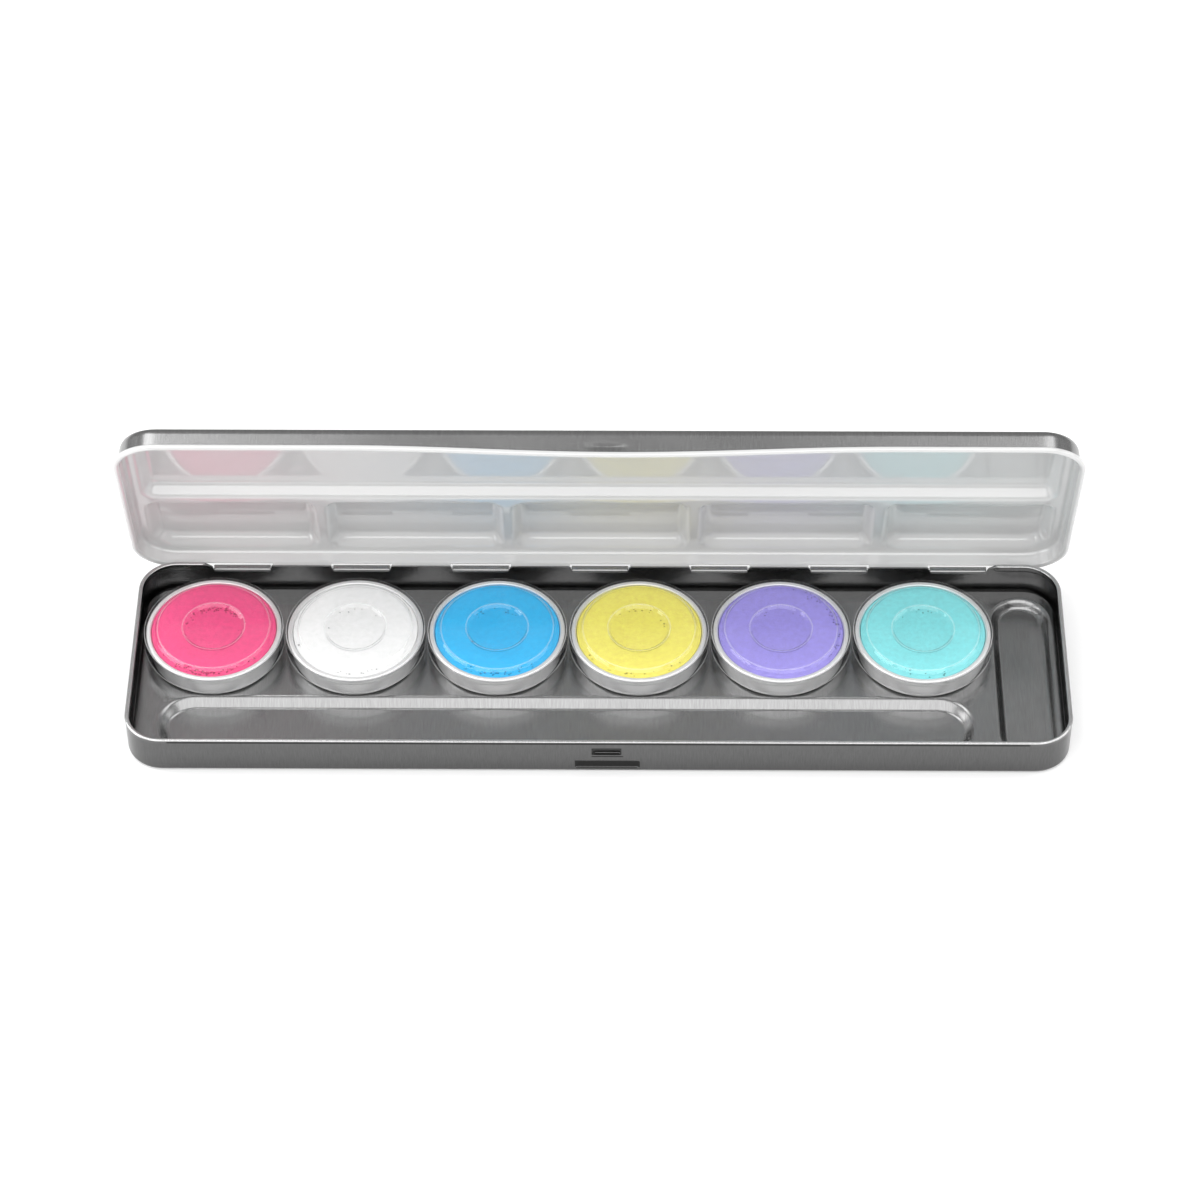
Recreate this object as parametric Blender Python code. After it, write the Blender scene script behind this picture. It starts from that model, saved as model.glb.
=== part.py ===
"""Hinged tin paint palette with six round, capped colour pans.

The tray stands on Z = 0 with its front wall at -Y and its hinge along the back.
The lid is built as it lies when shut and is then swung up on the hinge wire.
All lengths below are in millimetres and angles in degrees.
"""

import math

import bmesh
import bpy
from mathutils import Matrix, Vector

MM = 0.001

# Tray: a pressed steel box with an inward hem.
TRAY_X = 204.6
TRAY_Y = 52.8
TRAY_HEIGHT = 9.5
TRAY_CORNER = 8.1
TRAY_CENTRE_Y = -3.58
SHEET = 0.35
HEM_WIDTH = 0.9
HEM_DEPTH = 1.5

# Raised floor panel and the two recesses pressed back down from it.
PANEL_TOP = 2.0
PANEL_INSET = 0.55
PANEL_SLOPE = 0.35
UNDERSIDE_SHARE = 0.9
BRUSH_RECESS = {"centre": (-7.1, -15.1), "half": (88.9, 8.0), "slope": 1.9}
SIDE_RECESS = {"centre": (93.5, -0.4), "half": (6.2, 22.7), "slope": 1.15}

# Latch pocket and fingernail notch in the front wall.
LATCH_X = 1.9
LATCH_POCKET = {"width": 6.3, "low": 4.7, "high": 7.5, "depth": 0.45}
NAIL_NOTCH = {"width": 14.0, "low": 0.7, "high": 3.0, "depth": 0.45}
LATCH_BUMP = 0.18
LATCH_DENT = 0.15
LATCH_BUMP_HEIGHT = 2.3

# Hinge: rolled knuckles on a steel wire.
PIN_Y = 27.2
PIN_Z = 6.6
WIRE_RADIUS = 0.4
BORE_RADIUS = 0.475
KNUCKLE_RADIUS = 0.7
TRAY_KNUCKLES = 7
TRAY_KNUCKLE_PITCH = 26.67
TRAY_KNUCKLE_WIDTH = 12.6
KNUCKLE_GAP = 0.45
HINGE_HALF = 87.5
HINGE_END_SLANT = 1.5
HINGE_WALL_TOP = 8.4
KNUCKLE_WALL_TOP = 7.1
KNUCKLE_NOTCH_MARGIN = 0.15
TRAY_TAB_LOW = -0.6
TRAY_TAB_HIGH = 0.35
LID_TAB_Y = (-0.66, -0.26)
LID_TAB_LOW = 0.1
LID_TAB_ABOVE_RIM = 0.95
OPEN_ANGLE = 75.5

# Lid, in its own frame: origin on the wire, shut, front at -Y.
LID_GAP = 0.3
LID_FLAT = 4.2
LID_RIM_BACK = 1.13
LID_RIM_FRONT = -0.77
LIP_DIP = 1.5
LIP_DIP_X = 4.5
LIP_DIP_HALF = 60.0
HINGE_SIDE_RAISE = 0.55
WELL_DEPTH = 3.0
WELL_SLOPE = 1.7
WELL_HALF_X = 99.9
LONG_WELL = (24.2, 49.2)
SHORT_WELLS = (2.1, 22.0)
DIVIDERS = (-61.5, -20.4, 20.8, 61.7)
DIVIDER_CREST = 2.5

# Colour pans, in a row along X.
PAN_COLOURS = {
    "pink": (0.82, 0.08, 0.27),
    "white": (0.83, 0.83, 0.80),
    "blue": (0.04, 0.36, 0.90),
    "yellow": (0.93, 0.74, 0.13),
    "violet": (0.29, 0.20, 0.63),
    "mint": (0.18, 0.69, 0.64),
}
PAN_FIRST_X = -84.9
PAN_PITCH = 31.22
PAN_Y = 7.2
PAN_BOTTOM = 2.25
PAN_RIM = 8.2
PAN_SEGMENTS = 32
CAP_RADIUS = 15.42
CAP_SKIRT = 3.7
CAP_RAISE = 0.7

OVERSHOOT = 0.5
SMOOTH_ANGLE = 32.0
CORNER_STEPS = 6
SIDE_STEPS = 14
ROUND_STEPS = 16


def remove_everything():
    """Empty the scene without closing the file that runs this script."""
    for item in list(bpy.data.objects):
        bpy.data.objects.remove(item, do_unlink=True)


def material(name, colour, roughness, metallic=0.0, alpha=1.0):
    """A Principled BSDF of one colour."""
    made = bpy.data.materials.new(name)
    made.use_nodes = True
    shader = made.node_tree.nodes["Principled BSDF"]
    shader.inputs["Base Color"].default_value = (*colour, 1.0)
    shader.inputs["Roughness"].default_value = roughness
    shader.inputs["Metallic"].default_value = metallic
    shader.inputs["Alpha"].default_value = alpha
    return made


def add_object(name, bm, finish=None):
    """Turn a bmesh in millimetres into an object in metres."""
    bmesh.ops.recalc_face_normals(bm, faces=bm.faces)
    bmesh.ops.scale(bm, vec=(MM, MM, MM), verts=bm.verts)
    mesh = bpy.data.meshes.new(name)
    bm.to_mesh(mesh)
    bm.free()
    mesh.shade_smooth()
    mesh.set_sharp_from_angle(angle=math.radians(SMOOTH_ANGLE))
    if finish is not None:
        mesh.materials.append(finish)
    made = bpy.data.objects.new(name, mesh)
    bpy.context.scene.collection.objects.link(made)
    return made


def outline(half_x, half_y, radii, centre=(0.0, 0.0), side_steps=1):
    """Rounded rectangle as a counter-clockwise list of (x, y).

    radii are the corners' radii in the order +X+Y, -X+Y, -X-Y, +X-Y.
    side_steps splits each long side, so that it can bend.
    """
    points = []
    signs = ((1, 1), (-1, 1), (-1, -1), (1, -1))
    for quarter, ((sign_x, sign_y), radius) in enumerate(zip(signs, radii)):
        middle_x = centre[0] + sign_x * (half_x - radius)
        middle_y = centre[1] + sign_y * (half_y - radius)
        start = quarter * math.pi / 2
        for step in range(CORNER_STEPS + 1):
            angle = start + step / CORNER_STEPS * math.pi / 2
            points.append((middle_x + radius * math.cos(angle), middle_y + radius * math.sin(angle)))
        if quarter in (0, 2):
            length = 2 * half_x - radius - radii[quarter + 1]
            for step in range(1, side_steps):
                shift = -sign_x * length * step / side_steps
                points.append((middle_x + shift, middle_y + sign_y * radius))
    return points


def loft(loops):
    """Closed bmesh through loops of (x, y, z) with the same number of points."""
    bm = bmesh.new()
    rows = [[bm.verts.new(point) for point in loop] for loop in loops]
    count = len(rows[0])
    for lower, upper in zip(rows, rows[1:]):
        for index in range(count):
            after = (index + 1) % count
            bm.faces.new((lower[index], lower[after], upper[after], upper[index]))
    bm.faces.new(list(reversed(rows[0])))
    bm.faces.new(rows[-1])
    return bm


def turned(profile, segments, centre):
    """Closed solid turned about a vertical axis; profile is (radius, z), axis to axis."""
    bm = bmesh.new()
    verts = [bm.verts.new((radius, 0.0, height)) for radius, height in profile]
    edges = [bm.edges.new(pair) for pair in zip(verts, verts[1:])]
    bmesh.ops.spin(
        bm,
        geom=verts + edges,
        axis=(0, 0, 1),
        cent=(0, 0, 0),
        steps=segments,
        angle=2 * math.pi,
        use_merge=True,
    )
    bmesh.ops.remove_doubles(bm, verts=bm.verts, dist=0.0001)
    bmesh.ops.translate(bm, vec=(*centre, 0.0), verts=bm.verts)
    return bm


def box(low, high):
    """Plain block between two corners."""
    bm = bmesh.new()
    size = [after - before for before, after in zip(low, high)]
    middle = [(before + after) / 2 for before, after in zip(low, high)]
    place = Matrix.Translation(middle) @ Matrix.Diagonal((*size, 1.0))
    bmesh.ops.create_cube(bm, size=1.0, matrix=place)
    return bm


def rod(radius, low_x, high_x, y, z, segments=ROUND_STEPS):
    """Round bar along X."""
    bm = bmesh.new()
    place = Matrix.Translation(((low_x + high_x) / 2, y, z)) @ Matrix.Rotation(math.pi / 2, 4, "Y")
    bmesh.ops.create_cone(
        bm,
        cap_ends=True,
        segments=segments,
        radius1=radius,
        radius2=radius,
        depth=high_x - low_x,
        matrix=place,
    )
    return bm


def apply_tool(target, tool, operation):
    """Union or difference of target with a tool object, which is then removed."""
    step = target.modifiers.new("shape", "BOOLEAN")
    step.operation = operation
    step.solver = "EXACT"
    step.object = tool
    graph = bpy.context.evaluated_depsgraph_get()
    result = bpy.data.meshes.new_from_object(target.evaluated_get(graph))
    target.modifiers.clear()
    old = target.data
    target.data = result
    result.name = old.name
    bpy.data.meshes.remove(old)
    bpy.data.objects.remove(tool, do_unlink=True)


def combine(target, shape, operation):
    """Union or difference of target with a shape that isn't an object yet."""
    apply_tool(target, add_object("tool", shape), operation)


def weld(target):
    """Merge points that coincide, drop edges without faces and smooth the round faces."""
    bm = bmesh.new()
    bm.from_mesh(target.data)
    bmesh.ops.remove_doubles(bm, verts=bm.verts, dist=0.001 * MM)
    bmesh.ops.dissolve_degenerate(bm, dist=0.0005 * MM, edges=bm.edges)
    loose = [edge for edge in bm.edges if not edge.link_faces]
    bmesh.ops.delete(bm, geom=loose, context="EDGES")
    bm.to_mesh(target.data)
    bm.free()
    target.data.shade_smooth()
    target.data.set_sharp_from_angle(angle=math.radians(SMOOTH_ANGLE))


def ring(inset, height):
    """One loop of the tray's wall, inset from its outer face."""
    radius = max(TRAY_CORNER - inset, 0.5)
    flat = outline(TRAY_X / 2 - inset, TRAY_Y / 2 - inset, [radius] * 4)
    return [(x, y, height) for x, y in flat]


def recess_shape(recess, grow, low, high):
    """Tapered stadium of a floor recess, grown sideways, between two heights."""
    loops = []
    floor = SHEET
    for height in (low, high):
        share = (height - floor) / (PANEL_TOP - floor)
        inset = recess["slope"] * (1.0 - share) - grow
        half_x = recess["half"][0] - inset
        half_y = recess["half"][1] - inset
        flat = outline(half_x, half_y, [min(half_x, half_y) - 0.01] * 4, recess["centre"])
        loops.append([(x, y, height) for x, y in flat])
    return loft(loops)


def panel_shape(grow, low, high):
    """The raised floor's outline as a tapered block."""
    loops = []
    for height, slope in ((low, 0.0), (high, PANEL_SLOPE)):
        loops.append(ring(SHEET + PANEL_INSET + slope - grow, height))
    return loft(loops)


def knuckle_centres():
    """X of the tray's knuckles."""
    first = -(TRAY_KNUCKLES - 1) / 2
    return [(first + index) * TRAY_KNUCKLE_PITCH for index in range(TRAY_KNUCKLES)]


def lid_knuckle_spans():
    """X ranges of the lid's knuckles, between the tray's."""
    half = TRAY_KNUCKLE_WIDTH / 2 + KNUCKLE_GAP
    centres = knuckle_centres()
    return [(left + half, right - half) for left, right in zip(centres, centres[1:])]


def make_tray(finish):
    """Pressed tray with hem, raised floor, recesses, latch dents and knuckles."""
    top = TRAY_HEIGHT
    hem_bottom = top - HEM_DEPTH
    tray = add_object("tray_base", loft([
        ring(0.6, 0.0),
        ring(0.2, 0.2),
        ring(0.0, 0.6),
        ring(0.0, top - 0.25),
        ring(0.2, top),
        ring(HEM_WIDTH - 0.2, top),
        ring(HEM_WIDTH, top - 0.25),
        ring(HEM_WIDTH, hem_bottom),
        ring(SHEET, hem_bottom - 0.15),
        ring(SHEET, 0.8),
        ring(SHEET + 0.15, SHEET + 0.1),
        ring(SHEET + 0.4, SHEET),
    ]), finish)

    add_floor(tray)
    cut_back_wall(tray)
    add_front_dents(tray)
    for centre in knuckle_centres():
        low_x = centre - TRAY_KNUCKLE_WIDTH / 2
        high_x = centre + TRAY_KNUCKLE_WIDTH / 2
        combine(tray, rod(KNUCKLE_RADIUS, low_x, high_x, PIN_Y, PIN_Z), "UNION")
        inner_y = TRAY_Y / 2 - 0.1
        outer_y = PIN_Y - BORE_RADIUS - 0.02
        low = (low_x + 0.01, inner_y, PIN_Z + TRAY_TAB_LOW)
        combine(tray, box(low, (high_x - 0.01, outer_y, PIN_Z + TRAY_TAB_HIGH)), "UNION")
        bore = rod(BORE_RADIUS, low_x - OVERSHOOT, high_x + OVERSHOOT, PIN_Y, PIN_Z)
        combine(tray, bore, "DIFFERENCE")
    weld(tray)
    return tray


def add_floor(tray):
    """Raised panel with its recesses, hollow from below so that the sheet is even."""
    combine(tray, panel_shape(0.0, SHEET / 2, PANEL_TOP), "UNION")
    for recess in (BRUSH_RECESS, SIDE_RECESS):
        combine(tray, recess_shape(recess, 0.0, SHEET, PANEL_TOP + OVERSHOOT), "DIFFERENCE")
    under = add_object("under", panel_shape(-SHEET, -OVERSHOOT, PANEL_TOP - SHEET))
    for recess in (BRUSH_RECESS, SIDE_RECESS):
        walls = recess_shape(recess, SHEET * UNDERSIDE_SHARE, -1.0, PANEL_TOP + OVERSHOOT)
        combine(under, walls, "DIFFERENCE")
    apply_tool(tray, under, "DIFFERENCE")


def cut_back_wall(tray):
    """Along the hinge the back wall has no hem: it ends at a slant, and is lower at each knuckle."""
    back = TRAY_Y / 2
    above = TRAY_HEIGHT + 1.0
    loops = []
    for y in (back - 2.0, back + 1.0):
        loops.append([
            (-HINGE_HALF, y, HINGE_WALL_TOP),
            (HINGE_HALF, y, HINGE_WALL_TOP),
            (HINGE_HALF + HINGE_END_SLANT, y, above),
            (-HINGE_HALF - HINGE_END_SLANT, y, above),
        ])
    combine(tray, loft(loops), "DIFFERENCE")
    reach = TRAY_KNUCKLE_WIDTH / 2 + KNUCKLE_NOTCH_MARGIN
    for centre in knuckle_centres():
        low = (centre - reach, back - 1.0, KNUCKLE_WALL_TOP)
        combine(tray, box(low, (centre + reach, back + OVERSHOOT, above)), "DIFFERENCE")


def add_front_dents(tray):
    """Latch pocket and nail notch, pressed inwards with their backs on the inside."""
    front = -TRAY_Y / 2
    for dent in (LATCH_POCKET, NAIL_NOTCH):
        half = dent["width"] / 2
        depth = dent["depth"]
        low = (LATCH_X - half - SHEET, front + 0.1, dent["low"] - 0.3)
        high = (LATCH_X + half + SHEET, front + depth + SHEET, dent["high"] + 0.3)
        combine(tray, box(low, high), "UNION")
        loops = []
        for y, shrink in ((front - 0.5, -0.3), (front + depth, 0.25)):
            low_z = dent["low"] + shrink * 0.5
            high_z = dent["high"] - shrink
            low_x = LATCH_X - half + shrink
            high_x = LATCH_X + half - shrink
            loops.append([(low_x, y, low_z), (high_x, y, low_z), (high_x, y, high_z), (low_x, y, high_z)])
        combine(tray, loft(loops), "DIFFERENCE")


def lid_rim(x, y):
    """Height of the lid's rolled rim: it slopes to the front and dips at the latch."""
    length = TRAY_Y + 2 * LID_GAP
    share = min(max(-y / length, 0.0), 1.0)
    height = LID_RIM_BACK + (LID_RIM_FRONT - LID_RIM_BACK) * share
    along = (x - LIP_DIP_X) / LIP_DIP_HALF
    if abs(along) < 1.0:
        nearness = min(max((share - 0.9) / 0.1, 0.0), 1.0)
        height -= nearness * LIP_DIP * math.cos(math.pi / 2 * along) ** 2
    return height


def bead_share(x, y):
    """1 where the rim is rolled outwards, 0 along the hinge where it isn't."""
    if y < -6.0:
        return 1.0
    return min(max((abs(x) - (HINGE_HALF + 4.0)) / 3.0, 0.0), 1.0)


def lid_loop(outward, height_of):
    """One loop of the lid's wall, offset from its outer face at the rim."""
    wall = LID_GAP + SHEET
    radius = TRAY_CORNER + wall + outward
    half_x = TRAY_X / 2 + wall + outward
    half_y = TRAY_Y / 2 + wall + outward
    flat = outline(half_x, half_y, [radius] * 4, (0.0, -PIN_Y), SIDE_STEPS)
    return [(x, y, height_of(x, y)) for x, y in flat]


def level_loop(outward, height):
    """A loop of the lid's wall at one height."""
    return lid_loop(outward, lambda x, y: height)


def bead_loop(outward, plain_outward, offset):
    """A loop of the rolled rim, which flattens into the plain wall along the hinge."""
    rolled = lid_loop(outward, lid_rim)
    plain = lid_loop(plain_outward, lid_rim)
    loop = []
    for (roll_x, roll_y, roll_z), (flat_x, flat_y, _) in zip(rolled, plain):
        share = bead_share(roll_x, roll_y)
        x = flat_x + (roll_x - flat_x) * share
        y = flat_y + (roll_y - flat_y) * share
        loop.append((x, y, roll_z + offset + HINGE_SIDE_RAISE * (1.0 - share)))
    return loop


def well_shape(low_x, high_x, low_e, high_e, grow, start, end, radii):
    """Tapered well between two distances from the hinge, pressed towards the outer face."""
    centre = ((low_x + high_x) / 2, -(low_e + high_e) / 2)
    loops = []
    for height in (start, end):
        inset = WELL_SLOPE * (height - LID_FLAT) / WELL_DEPTH - grow
        half_x = (high_x - low_x) / 2 - inset
        half_y = (high_e - low_e) / 2 - inset
        corners = [max(radius - inset * 0.8, 0.6) for radius in radii]
        flat = outline(half_x, half_y, corners, centre)
        loops.append([(x, y, height) for x, y in flat])
    return loft(loops)


def wells():
    """Each well as (low x, high x, low e, high e, corner radii)."""
    big = 5.5
    small = 3.0
    shapes = [(-WELL_HALF_X, WELL_HALF_X, *LONG_WELL, [small, small, big, big])]
    half = DIVIDER_CREST / 2
    edges = [-WELL_HALF_X - half, *DIVIDERS, WELL_HALF_X + half]
    for index, (left, right) in enumerate(zip(edges, edges[1:])):
        right_back = big if index == len(DIVIDERS) else small
        left_back = big if index == 0 else small
        shapes.append((left + half, right - half, *SHORT_WELLS, [right_back, left_back, small, small]))
    return shapes


def make_lid(finish):
    """Pressed lid with a rolled rim, mixing wells, latch bump and knuckles."""
    flat_out = LID_FLAT + SHEET
    inner = -SHEET
    lid = add_object("lid_shell", loft([
        level_loop(inner - 1.05, LID_FLAT),
        level_loop(inner - 0.60, LID_FLAT - 0.12),
        level_loop(inner - 0.30, LID_FLAT - 0.50),
        level_loop(inner - 0.12, LID_FLAT - 1.20),
        bead_loop(inner, inner, -0.25),
        bead_loop(0.0, inner + 0.05, -0.55),
        bead_loop(0.45, inner + 0.2, -0.63),
        bead_loop(0.92, 0.0, -0.44),
        bead_loop(1.10, 0.0, 0.0),
        bead_loop(0.92, 0.0, 0.44),
        bead_loop(0.45, 0.0, 0.63),
        bead_loop(0.0, 0.0, 0.80),
        level_loop(-0.12, flat_out - 1.45),
        level_loop(-0.30, flat_out - 0.70),
        level_loop(-0.60, flat_out - 0.22),
        level_loop(-1.05, flat_out),
    ]), finish)

    for low_x, high_x, low_e, high_e, radii in wells():
        outside = well_shape(low_x, high_x, low_e, high_e, 0.3, LID_FLAT + 0.1,
                             LID_FLAT + WELL_DEPTH + SHEET, radii)
        combine(lid, outside, "UNION")
    for low_x, high_x, low_e, high_e, radii in wells():
        inside = well_shape(low_x, high_x, low_e, high_e, 0.0, LID_FLAT - 0.3,
                            LID_FLAT + WELL_DEPTH, radii)
        combine(lid, inside, "DIFFERENCE")

    # The latch bump stands in from the front wall, above the dipped lip.
    wall_y = -PIN_Y - TRAY_Y / 2 - LID_GAP
    bump_z = LID_RIM_FRONT - LIP_DIP + LATCH_BUMP_HEIGHT
    bump_half = LATCH_POCKET["width"] / 2 - 0.2
    loops = []
    for y, half_x, half_z in ((wall_y - 0.2, bump_half, 0.8), (wall_y + LATCH_BUMP, bump_half - 0.4, 0.4)):
        loops.append([
            (LATCH_X - half_x, y, bump_z - half_z),
            (LATCH_X + half_x, y, bump_z - half_z),
            (LATCH_X + half_x, y, bump_z + half_z),
            (LATCH_X - half_x, y, bump_z + half_z),
        ])
    combine(lid, loft(loops), "UNION")
    outer_y = wall_y - SHEET
    dent = box(
        (LATCH_X - bump_half + 0.4, outer_y - 1.0, bump_z - 0.4),
        (LATCH_X + bump_half - 0.4, outer_y + LATCH_DENT, bump_z + 0.4),
    )
    combine(lid, dent, "DIFFERENCE")

    for low_x, high_x in lid_knuckle_spans():
        combine(lid, rod(KNUCKLE_RADIUS, low_x, high_x, 0.0, 0.0), "UNION")
        low = (low_x + 0.01, LID_TAB_Y[0], LID_TAB_LOW)
        combine(lid, box(low, (high_x - 0.01, LID_TAB_Y[1], LID_RIM_BACK + LID_TAB_ABOVE_RIM)), "UNION")
        combine(lid, rod(BORE_RADIUS, low_x - OVERSHOOT, high_x + OVERSHOOT, 0.0, 0.0), "DIFFERENCE")
    weld(lid)

    swing = Matrix.Rotation(math.radians(-OPEN_ANGLE), 4, "X")
    lid.location = Vector((0.0, PIN_Y * MM, PIN_Z * MM))
    lid.rotation_euler = swing.to_euler()
    return lid


def make_wire(finish):
    """Hinge wire through every knuckle."""
    half = (TRAY_KNUCKLES - 1) / 2 * TRAY_KNUCKLE_PITCH + TRAY_KNUCKLE_WIDTH / 2
    return add_object("hinge_wire", rod(WIRE_RADIUS, -half, half, PIN_Y, PIN_Z), finish)


def make_cup(name, centre, finish):
    """Pressed aluminium cup with a rolled rim."""
    low = PAN_BOTTOM
    profile = [
        (0.0, low), (13.6, low), (14.2, low + 0.6), (14.45, PAN_RIM - 0.6),
        (14.9, PAN_RIM - 0.45), (14.9, PAN_RIM - 0.1), (14.7, PAN_RIM), (14.15, PAN_RIM),
        (14.0, PAN_RIM - 0.2), (13.75, low + 0.9), (13.3, low + 0.35), (0.0, low + 0.35),
    ]
    return add_object(name, turned(profile, PAN_SEGMENTS, centre), finish)


def make_paint(name, centre, finish):
    """Cake of pressed colour, just below the cup's rim."""
    low = PAN_BOTTOM + 0.5
    profile = [(0.0, low), (13.2, low), (13.55, low + 0.6), (13.82, PAN_RIM - 0.42), (13.6, PAN_RIM - 0.35),
               (0.0, PAN_RIM - 0.35)]
    return add_object(name, turned(profile, PAN_SEGMENTS, centre), finish)


def make_cap(name, centre, finish):
    """Clear push-on cap: skirt, raised plateau and a sunk disc in the middle."""
    low = PAN_RIM - CAP_SKIRT
    top = PAN_RIM + 0.12
    high = top + CAP_RAISE
    wall = 0.33
    profile = [
        (0.0, top), (6.6, top), (7.3, high), (12.1, high), (12.6, top), (14.9, top),
        (CAP_RADIUS - wall, top - 0.15), (CAP_RADIUS - wall, low),
        (CAP_RADIUS, low), (CAP_RADIUS, top + 0.1), (15.15, top + wall), (12.9, top + wall),
        (12.4, high + wall), (7.0, high + wall), (6.3, top + wall), (0.0, top + wall),
    ]
    return add_object(name, turned(profile, PAN_SEGMENTS, centre), finish)


def hang(child, parent):
    """Parent without moving the child."""
    child.parent = parent
    child.matrix_parent_inverse = parent.matrix_world.inverted()


def main():
    remove_everything()
    steel = material("satin_tinplate", (0.33, 0.33, 0.33), 0.38, metallic=1.0)
    enamel = material("white_enamel", (0.86, 0.86, 0.85), 0.16)
    wire_steel = material("wire_steel", (0.55, 0.55, 0.55), 0.3, metallic=1.0)
    aluminium = material("aluminium", (0.88, 0.88, 0.88), 0.26, metallic=1.0)
    clear = material("clear_plastic", (0.95, 0.96, 0.97), 0.05, alpha=0.3)

    frame = bpy.data.objects.new("palette", None)
    bpy.context.scene.collection.objects.link(frame)
    pieces = [make_tray(steel), make_lid(enamel), make_wire(wire_steel)]
    for index, (colour, value) in enumerate(PAN_COLOURS.items()):
        centre = (PAN_FIRST_X + index * PAN_PITCH, PAN_Y)
        pieces.append(make_cup(f"pan_cup_{colour}", centre, aluminium))
        pieces.append(make_paint(f"paint_{colour}", centre, material(f"paint_{colour}", value, 0.55)))
        pieces.append(make_cap(f"clear_cap_{colour}", centre, clear))
    for piece in pieces:
        hang(piece, frame)
    frame.location = (0.0, TRAY_CENTRE_Y * MM, 0.0)


main()
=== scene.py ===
"""Looks of the hinged tin palette: fine pressed sheets, capped pans, materials, light and camera.

Lengths are in millimetres in the tray's own frame: X to the right, Y towards the hinge, Z up,
with the tray's middle at X = Y = 0. place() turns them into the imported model's frame in metres.
"""

import math

import bpy
import numpy as np
from mathutils import Matrix, Vector

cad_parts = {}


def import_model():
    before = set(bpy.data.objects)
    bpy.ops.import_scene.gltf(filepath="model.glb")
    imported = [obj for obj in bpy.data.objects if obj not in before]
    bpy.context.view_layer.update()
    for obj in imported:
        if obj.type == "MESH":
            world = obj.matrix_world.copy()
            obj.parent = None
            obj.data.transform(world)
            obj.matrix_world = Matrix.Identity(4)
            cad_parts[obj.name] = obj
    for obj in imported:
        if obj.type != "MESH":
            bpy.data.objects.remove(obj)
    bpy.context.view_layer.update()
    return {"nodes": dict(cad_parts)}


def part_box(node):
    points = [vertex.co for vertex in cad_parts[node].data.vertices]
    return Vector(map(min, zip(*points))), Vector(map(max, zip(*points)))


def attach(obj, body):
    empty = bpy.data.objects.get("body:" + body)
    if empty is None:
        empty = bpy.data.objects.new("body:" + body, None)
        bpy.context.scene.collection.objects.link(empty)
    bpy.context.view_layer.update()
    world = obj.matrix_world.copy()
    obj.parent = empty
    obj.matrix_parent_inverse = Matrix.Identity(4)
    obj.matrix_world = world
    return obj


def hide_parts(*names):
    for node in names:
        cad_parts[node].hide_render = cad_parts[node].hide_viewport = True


MM = 0.001

# Tray.
TRAY_X = 204.6
TRAY_Y = 52.8
TRAY_HEIGHT = 9.5
TRAY_CORNER = 8.1
SHEET = 0.35
HEM_WIDTH = 0.95
HEM_BOTTOM = 7.9
WALL_STEP = 0.10
# Painted highlight: tray faces above this height take the lighter hem tinplate.
HEM_SHINE_FROM = 9.36
FLOOR_EDGE = 0.62
PANEL_TOP = 2.15
PANEL_INSET = 0.75
PANEL_SLOPE = 0.45
BRUSH_RECESS = {"centre": (-7.1, -15.1), "half": (88.9, 8.0), "slope": 2.0}
SIDE_RECESS = {"centre": (93.5, -0.4), "half": (6.2, 22.7), "slope": 1.2}
LATCH_X = 1.9

# Dents of the tray's front wall: half width along X, and heights above the table.
DENT_DEPTH = 0.50
POCKET = {"half": 3.3, "low": 5.25, "high": 7.7}
NOTCH = {"half": 7.3, "low": 0.50, "high": 3.3}

# Painted shade on the front wall's steel: dark bands in the latch pocket, on a line below it and in the
# fingernail notch. Each band has a half width along X, a lowest and a highest point.
PAINTED_SHADE_BANDS = ((3.15, 5.2, 7.5), (3.4, 4.6, 4.95), (7.0, 1.05, 3.1))
# Painted shade: a dark line under the hem between these two heights, stopping short of the corners.
HEM_SHADE_LINE = (8.72, 9.12)
HEM_SHADE_END_GAP = 1.5
FRONT_WALL_REACH = 1.5

# Hinge.
PIN_Y = 27.2
PIN_Z = 6.6
ROLL_RADIUS = 0.59
ROLL_SHEET = 0.22
TRAY_KNUCKLES = 7
KNUCKLE_PITCH = 26.67
TRAY_KNUCKLE_WIDTH = 12.6
KNUCKLE_GAP = 0.45
HINGE_HALF = 87.5
HINGE_WALL_TOP = 8.4
TONGUE_WALL_TOP = 6.75
OPEN_ANGLE = 75.5

# Lid, shut, from the pin: Y to the back and Z up.
LID_GAP = 0.3
LID_FLAT = 4.2
LID_RIM_BACK = 1.13
LID_RIM_FRONT = -0.77
LIP_DIP = 1.5
LIP_DIP_X = 4.5
LIP_DIP_HALF = 60.0
DIMPLE = {"depth": 0.20, "half_x": 3.4, "half_z": 0.8, "above_lip": 2.3}
HINGE_SIDE_RAISE = 0.55
BEAD_OUT = 0.45
BEAD_RADIUS = 0.64
WELL_DEPTH = 3.0
WELL_SLOPE = 1.7
WELL_HALF_X = 99.9
WELL_CORNER = 3.0
WELL_OUTER_CORNER = 5.5
LID_BEND = 1.05
LID_INNER_BEND = 1.6
LONG_WELL = (24.2, 49.2)
SHORT_WELLS = (2.1, 22.0)
DIVIDERS = (-61.5, -20.4, 20.8, 61.7)
DIVIDER_CREST = 2.5

# Pans.
PAN_FIRST_X = -84.9
PAN_PITCH = 31.22
PAN_Y = 7.2
PAN_BOTTOM = 2.25
PAN_RIM = 8.2
CAP_RADIUS = 15.42
CAP_SKIRT = 3.7
CAP_RAISE = 0.7
TURN_STEPS = 120
PAINTS = {
    "pink": (0.92, 0.082, 0.265),
    "white": (0.99, 1.0, 0.99),
    "blue": (0.027, 0.53, 1.0),
    "yellow": (1.0, 0.87, 0.16),
    "violet": (0.375, 0.32, 0.84),
    "mint": (0.262, 0.82, 0.85),
}

# Crumbs of each colour: how many lie by the rim, and how many round the middle.
CRUMBS = {
    "pink": (60, 46),
    "violet": (34, 4),
    "blue": (26, 12),
    "yellow": (14, 10),
    "mint": (10, 6),
    "white": (10, 6),
}
CRUMB_TONE = 0.5
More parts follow.
